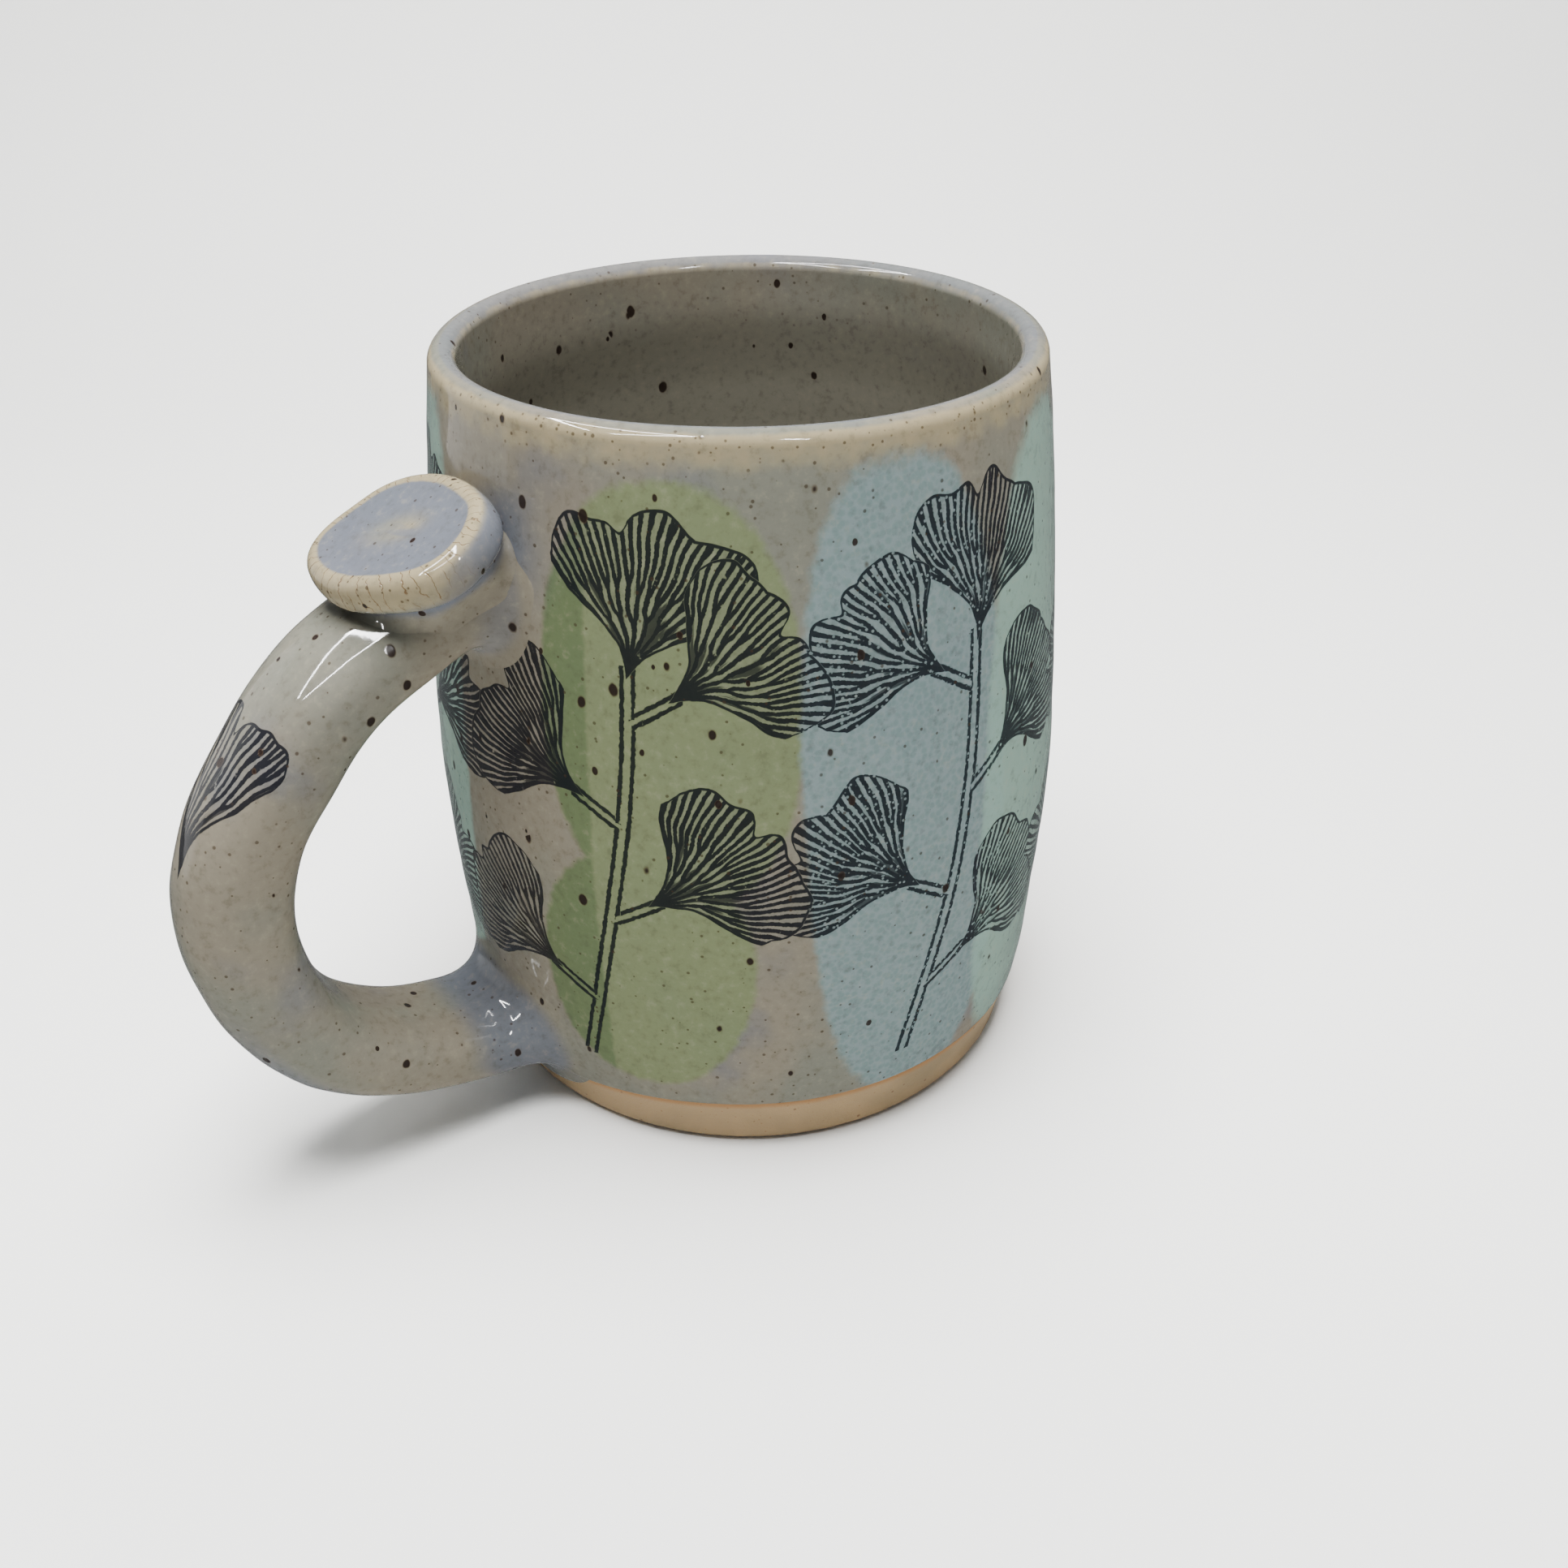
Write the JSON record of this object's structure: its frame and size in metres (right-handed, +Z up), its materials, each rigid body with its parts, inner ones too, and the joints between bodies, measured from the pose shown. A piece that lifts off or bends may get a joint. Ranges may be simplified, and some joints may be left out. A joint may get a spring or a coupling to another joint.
{
  "type": "stoneware mug",
  "caption": "Hand-thrown barrel-shaped stoneware mug with a strap handle, a thumb rest and a bare foot, glazed, with colour patches and a printed leaf sprig.",
  "frame": {"origin": "centre of the flat base, on the surface that the mug stands on", "axes": "+Z up through the mouth; the handle points along -X; the decorated side faces -Y"},
  "size_m": [0.1241, 0.0854, 0.1],
  "materials": {
    "wall_glaze": "gloss",
    "handle_glaze": "gloss",
    "rest_glaze": "gloss",
    "bare_stoneware": "matte"
  },
  "bodies": {
    "root": {"body": "wall_glaze", "handle": "handle_glaze", "thumb_rest": "rest_glaze", "thumb_rest_coil": "handle_glaze", "upper_joint_coil": "handle_glaze", "lower_joint_coil": "handle_glaze"}
  },
  "joints": []
}
